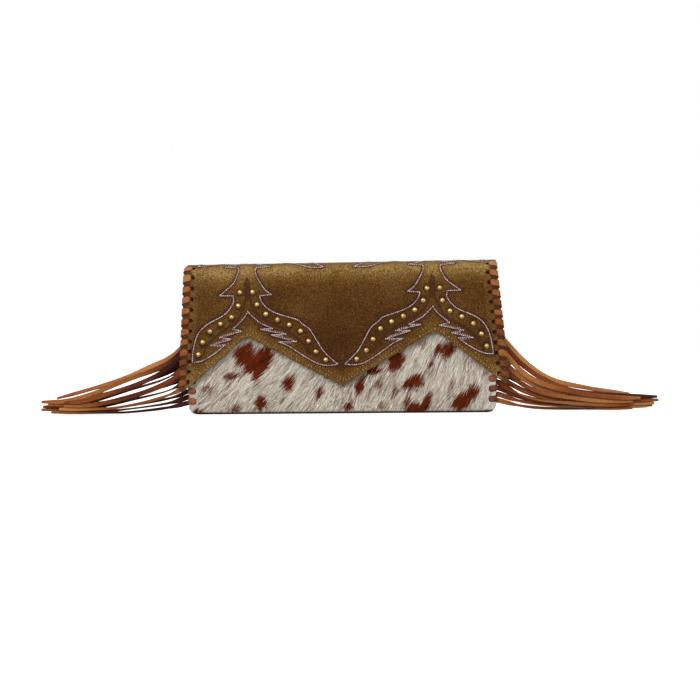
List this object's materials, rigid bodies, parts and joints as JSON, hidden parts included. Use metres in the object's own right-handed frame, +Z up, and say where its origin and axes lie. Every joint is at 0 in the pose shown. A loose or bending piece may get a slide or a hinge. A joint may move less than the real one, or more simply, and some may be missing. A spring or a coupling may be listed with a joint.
{
  "type": "clutch wallet",
  "caption": "Western clutch wallet with a hair-on hide front, a studded W-cut flap, whip-stitched edges, side fringe, note compartments and a zipped coin pocket.",
  "frame": {"origin": "middle of the base panel's underside, on the surface the wallet stands on", "axes": "+X along the width to the right as seen from the front, -Y out of the front (the flap's face), +Z up"},
  "size_m": [0.4797, 0.033, 0.116],
  "materials": {
    "olive_leather": "distressed, waxed satin",
    "brown_leather": "matte",
    "spotted_hide": "hair on, white with red-brown spots",
    "tan_lining": "suede",
    "tan_lace": "satin",
    "red_brown_lace": "satin",
    "fringe_leather": "satin, raw edges",
    "brass": "aged satin",
    "snap_plate": "satin",
    "zip_tape": "woven tape with metal teeth"
  },
  "bodies": {
    "wallet_body": {"back_panel": "olive_leather", "back_lining": "tan_lining", "card_pocket_upper": "tan_lining", "card_pocket_lower": "tan_lining", "base_panel": "brown_leather", "front_hide": "spotted_hide", "front_lining": "tan_lining", "gusset_left": "brown_leather", "gusset_right": "brown_leather", "fringe_left": "fringe_leather", "fringe_right": "fringe_leather", "front_lace_left": "red_brown_lace", "front_lace_right": "red_brown_lace", "back_lace_left": "red_brown_lace", "back_lace_right": "red_brown_lace", "coin_pocket_front": "tan_lining", "coin_pocket_rear": "tan_lining", "zip_chain": "zip_tape", "snap_socket": "snap_plate"},
    "fold": {"spine_leather": "olive_leather"},
    "flap": {"flap_leather": "olive_leather", "flap_lining": "tan_lining", "flap_lace_left": "tan_lace", "flap_lace_right": "tan_lace", "snap_stud": "snap_plate", "stud_left_inner_1": "brass", "stud_left_inner_2": "brass", "stud_left_inner_3": "brass", "stud_left_inner_4": "brass", "stud_left_inner_5": "brass", "stud_left_inner_6": "brass", "stud_left_inner_7": "brass", "stud_left_inner_8": "brass", "stud_left_inner_9": "brass", "stud_left_outer_1": "brass", "stud_left_outer_2": "brass", "stud_left_outer_3": "brass", "stud_left_outer_4": "brass", "stud_left_outer_5": "brass", "stud_left_outer_6": "brass", "stud_left_outer_7": "brass", "stud_right_inner_1": "brass", "stud_right_inner_2": "brass", "stud_right_inner_3": "brass", "stud_right_inner_4": "brass", "stud_right_inner_5": "brass", "stud_right_inner_6": "brass", "stud_right_inner_7": "brass", "stud_right_inner_8": "brass", "stud_right_inner_9": "brass", "stud_right_outer_1": "brass", "stud_right_outer_2": "brass", "stud_right_outer_3": "brass", "stud_right_outer_4": "brass", "stud_right_outer_5": "brass", "stud_right_outer_6": "brass", "stud_right_outer_7": "brass"},
    "zip_slider": {"zip_slider": "brass"},
    "zip_pull": {"zip_pull": "brass"}
  },
  "joints": [
    {"name": "rear_fold_hinge", "type": "hinge", "parent": "wallet_body", "child": "fold", "pos_m": [0, 0.0111, 0.1095], "axis": [-1, 0, 0], "range_deg": [0, 90]},
    {"name": "front_fold_hinge", "type": "hinge", "parent": "fold", "child": "flap", "pos_m": [0, -0.0172, 0.1095], "axis": [-1, 0, 0], "range_deg": [0, 90]},
    {"name": "zip_slide", "type": "slide", "parent": "wallet_body", "child": "zip_slider", "axis": [1, 0, 0], "range_m": [0, 0.161]},
    {"name": "zip_pull_hinge", "type": "hinge", "parent": "zip_slider", "child": "zip_pull", "pos_m": [-0.0805, 0, 0.0935], "axis": [0, -1, 0], "range_deg": [0, 180]}
  ]
}
